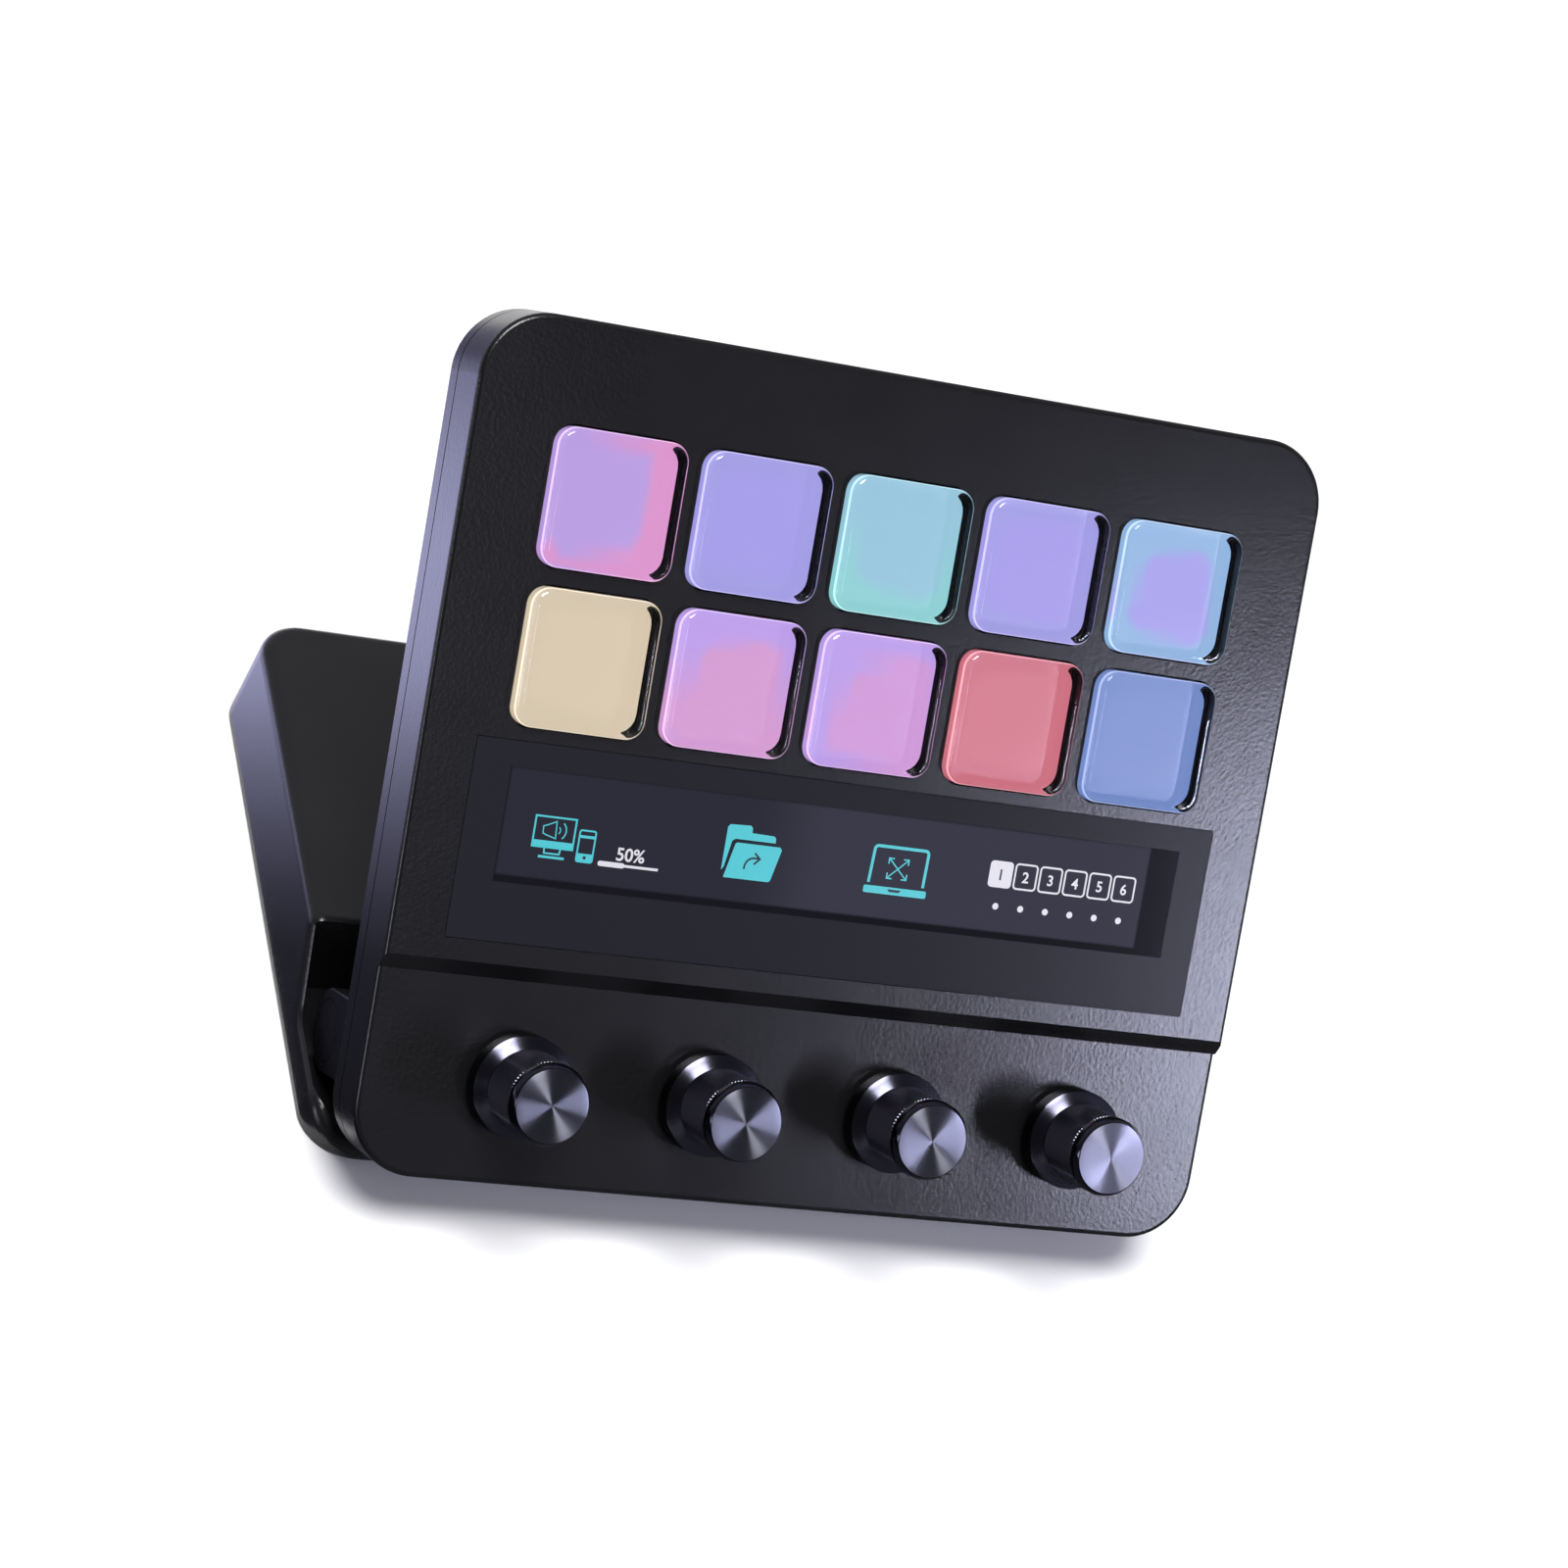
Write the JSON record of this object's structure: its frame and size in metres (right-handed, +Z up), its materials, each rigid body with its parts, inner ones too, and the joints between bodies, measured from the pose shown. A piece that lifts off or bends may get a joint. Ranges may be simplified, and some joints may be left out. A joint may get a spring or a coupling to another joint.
{
  "type": "macro keypad with knobs",
  "caption": "Tilting desk keypad with clear display keys in two rows, a touch strip and a row of push-and-turn knobs, on a low weighted stand.",
  "frame": {"origin": "on the desk, at the centre of the underside of the stand's rubber pad", "axes": "+X to the user's right, along the hinge; +Y away from the user; +Z up"},
  "size_m": [0.1364, 0.1156, 0.1114],
  "materials": {
    "case": "matte",
    "stand": "matte",
    "key_clear": "polished",
    "strip_glass": "polished",
    "display": "gloss",
    "lit_display": "gloss",
    "board": "satin",
    "contact": "matte",
    "silicone": "matte",
    "flex": "satin",
    "steel": "satin",
    "black_steel": "satin",
    "weight": "matte",
    "knob_metal": "satin",
    "knob_plastic": "satin"
  },
  "bodies": {
    "base": {"base_cover": "stand", "base_floor": "black_steel", "base_screws": "steel", "ballast_plate": "weight", "base_pad": "silicone", "hinge_bracket_right": "black_steel", "hinge_bracket_left": "black_steel", "bracket_screws": "steel"},
    "panel": {"front_cover": "case", "rear_cover": "case", "panel_screws": "black_steel", "cover_glass": "strip_glass", "touch_display": "display", "touch_display_flex": "flex", "dome_mat": "silicone", "key_contact_frame": "contact", "key_display": "lit_display", "key_display_flex": "flex", "display_tray": "steel", "main_board": "board", "usb_socket": "steel", "encoder_nuts": "steel", "hinge_arm_right": "black_steel", "hinge_arm_left": "black_steel", "arm_screws": "steel", "hinge_pin_right": "black_steel", "hinge_pin_left": "black_steel", "hinge_washers": "steel", "hinge_nuts": "steel", "encoder_body_1": "steel", "encoder_body_2": "steel", "encoder_body_3": "steel", "encoder_body_4": "steel"},
    "key_1": {"key_cap_1": "key_clear"},
    "key_2": {"key_cap_2": "key_clear"},
    "key_3": {"key_cap_3": "key_clear"},
    "key_4": {"key_cap_4": "key_clear"},
    "key_5": {"key_cap_5": "key_clear"},
    "key_6": {"key_cap_6": "key_clear"},
    "key_7": {"key_cap_7": "key_clear"},
    "key_8": {"key_cap_8": "key_clear"},
    "key_9": {"key_cap_9": "key_clear"},
    "key_10": {"key_cap_10": "key_clear"},
    "plunger_1": {"push_disc_1": "knob_plastic"},
    "knob_1": {"knob_shaft_1": "steel", "knob_insert_1": "knob_plastic", "knob_shell_1": "knob_metal"},
    "plunger_2": {"push_disc_2": "knob_plastic"},
    "knob_2": {"knob_shaft_2": "steel", "knob_insert_2": "knob_plastic", "knob_shell_2": "knob_metal"},
    "plunger_3": {"push_disc_3": "knob_plastic"},
    "knob_3": {"knob_shaft_3": "steel", "knob_insert_3": "knob_plastic", "knob_shell_3": "knob_metal"},
    "plunger_4": {"push_disc_4": "knob_plastic"},
    "knob_4": {"knob_shaft_4": "steel", "knob_insert_4": "knob_plastic", "knob_shell_4": "knob_metal"}
  },
  "joints": [
    {"name": "panel_tilt", "type": "hinge", "parent": "base", "child": "panel", "pos_m": [0, -0.031, 0.0106], "axis": [1, 0, 0], "range_deg": [-52.25, 10]},
    {"name": "key_1_press", "type": "slide", "parent": "panel", "child": "key_1", "axis": [0, 0.7907, -0.6122], "range_m": [0, 0.0006], "stiffness_N_per_m": 500, "springref_m": -0.0005},
    {"name": "key_2_press", "type": "slide", "parent": "panel", "child": "key_2", "axis": [0, 0.7907, -0.6122], "range_m": [0, 0.0006], "stiffness_N_per_m": 500, "springref_m": -0.0005},
    {"name": "key_3_press", "type": "slide", "parent": "panel", "child": "key_3", "axis": [0, 0.7907, -0.6122], "range_m": [0, 0.0006], "stiffness_N_per_m": 500, "springref_m": -0.0005},
    {"name": "key_4_press", "type": "slide", "parent": "panel", "child": "key_4", "axis": [0, 0.7907, -0.6122], "range_m": [0, 0.0006], "stiffness_N_per_m": 500, "springref_m": -0.0005},
    {"name": "key_5_press", "type": "slide", "parent": "panel", "child": "key_5", "axis": [0, 0.7907, -0.6122], "range_m": [0, 0.0006], "stiffness_N_per_m": 500, "springref_m": -0.0005},
    {"name": "key_6_press", "type": "slide", "parent": "panel", "child": "key_6", "axis": [0, 0.7907, -0.6122], "range_m": [0, 0.0006], "stiffness_N_per_m": 500, "springref_m": -0.0005},
    {"name": "key_7_press", "type": "slide", "parent": "panel", "child": "key_7", "axis": [0, 0.7907, -0.6122], "range_m": [0, 0.0006], "stiffness_N_per_m": 500, "springref_m": -0.0005},
    {"name": "key_8_press", "type": "slide", "parent": "panel", "child": "key_8", "axis": [0, 0.7907, -0.6122], "range_m": [0, 0.0006], "stiffness_N_per_m": 500, "springref_m": -0.0005},
    {"name": "key_9_press", "type": "slide", "parent": "panel", "child": "key_9", "axis": [0, 0.7907, -0.6122], "range_m": [0, 0.0006], "stiffness_N_per_m": 500, "springref_m": -0.0005},
    {"name": "key_10_press", "type": "slide", "parent": "panel", "child": "key_10", "axis": [0, 0.7907, -0.6122], "range_m": [0, 0.0006], "stiffness_N_per_m": 500, "springref_m": -0.0005},
    {"name": "knob_1_press", "type": "slide", "parent": "panel", "child": "plunger_1", "axis": [0, 0.7907, -0.6122], "range_m": [0, 0.0005], "stiffness_N_per_m": 4000, "springref_m": -0.00025},
    {"name": "knob_1_turn", "type": "hinge", "parent": "plunger_1", "child": "knob_1", "pos_m": [-0.0447, -0.05191, 0.0259], "axis": [0, -0.7907, 0.6122], "continuous": true},
    {"name": "knob_2_press", "type": "slide", "parent": "panel", "child": "plunger_2", "axis": [0, 0.7907, -0.6122], "range_m": [0, 0.0005], "stiffness_N_per_m": 4000, "springref_m": -0.00025},
    {"name": "knob_2_turn", "type": "hinge", "parent": "plunger_2", "child": "knob_2", "pos_m": [-0.0149, -0.05191, 0.0259], "axis": [0, -0.7907, 0.6122], "continuous": true},
    {"name": "knob_3_press", "type": "slide", "parent": "panel", "child": "plunger_3", "axis": [0, 0.7907, -0.6122], "range_m": [0, 0.0005], "stiffness_N_per_m": 4000, "springref_m": -0.00025},
    {"name": "knob_3_turn", "type": "hinge", "parent": "plunger_3", "child": "knob_3", "pos_m": [0.0149, -0.05191, 0.0259], "axis": [0, -0.7907, 0.6122], "continuous": true},
    {"name": "knob_4_press", "type": "slide", "parent": "panel", "child": "plunger_4", "axis": [0, 0.7907, -0.6122], "range_m": [0, 0.0005], "stiffness_N_per_m": 4000, "springref_m": -0.00025},
    {"name": "knob_4_turn", "type": "hinge", "parent": "plunger_4", "child": "knob_4", "pos_m": [0.0447, -0.05191, 0.0259], "axis": [0, -0.7907, 0.6122], "continuous": true}
  ]
}
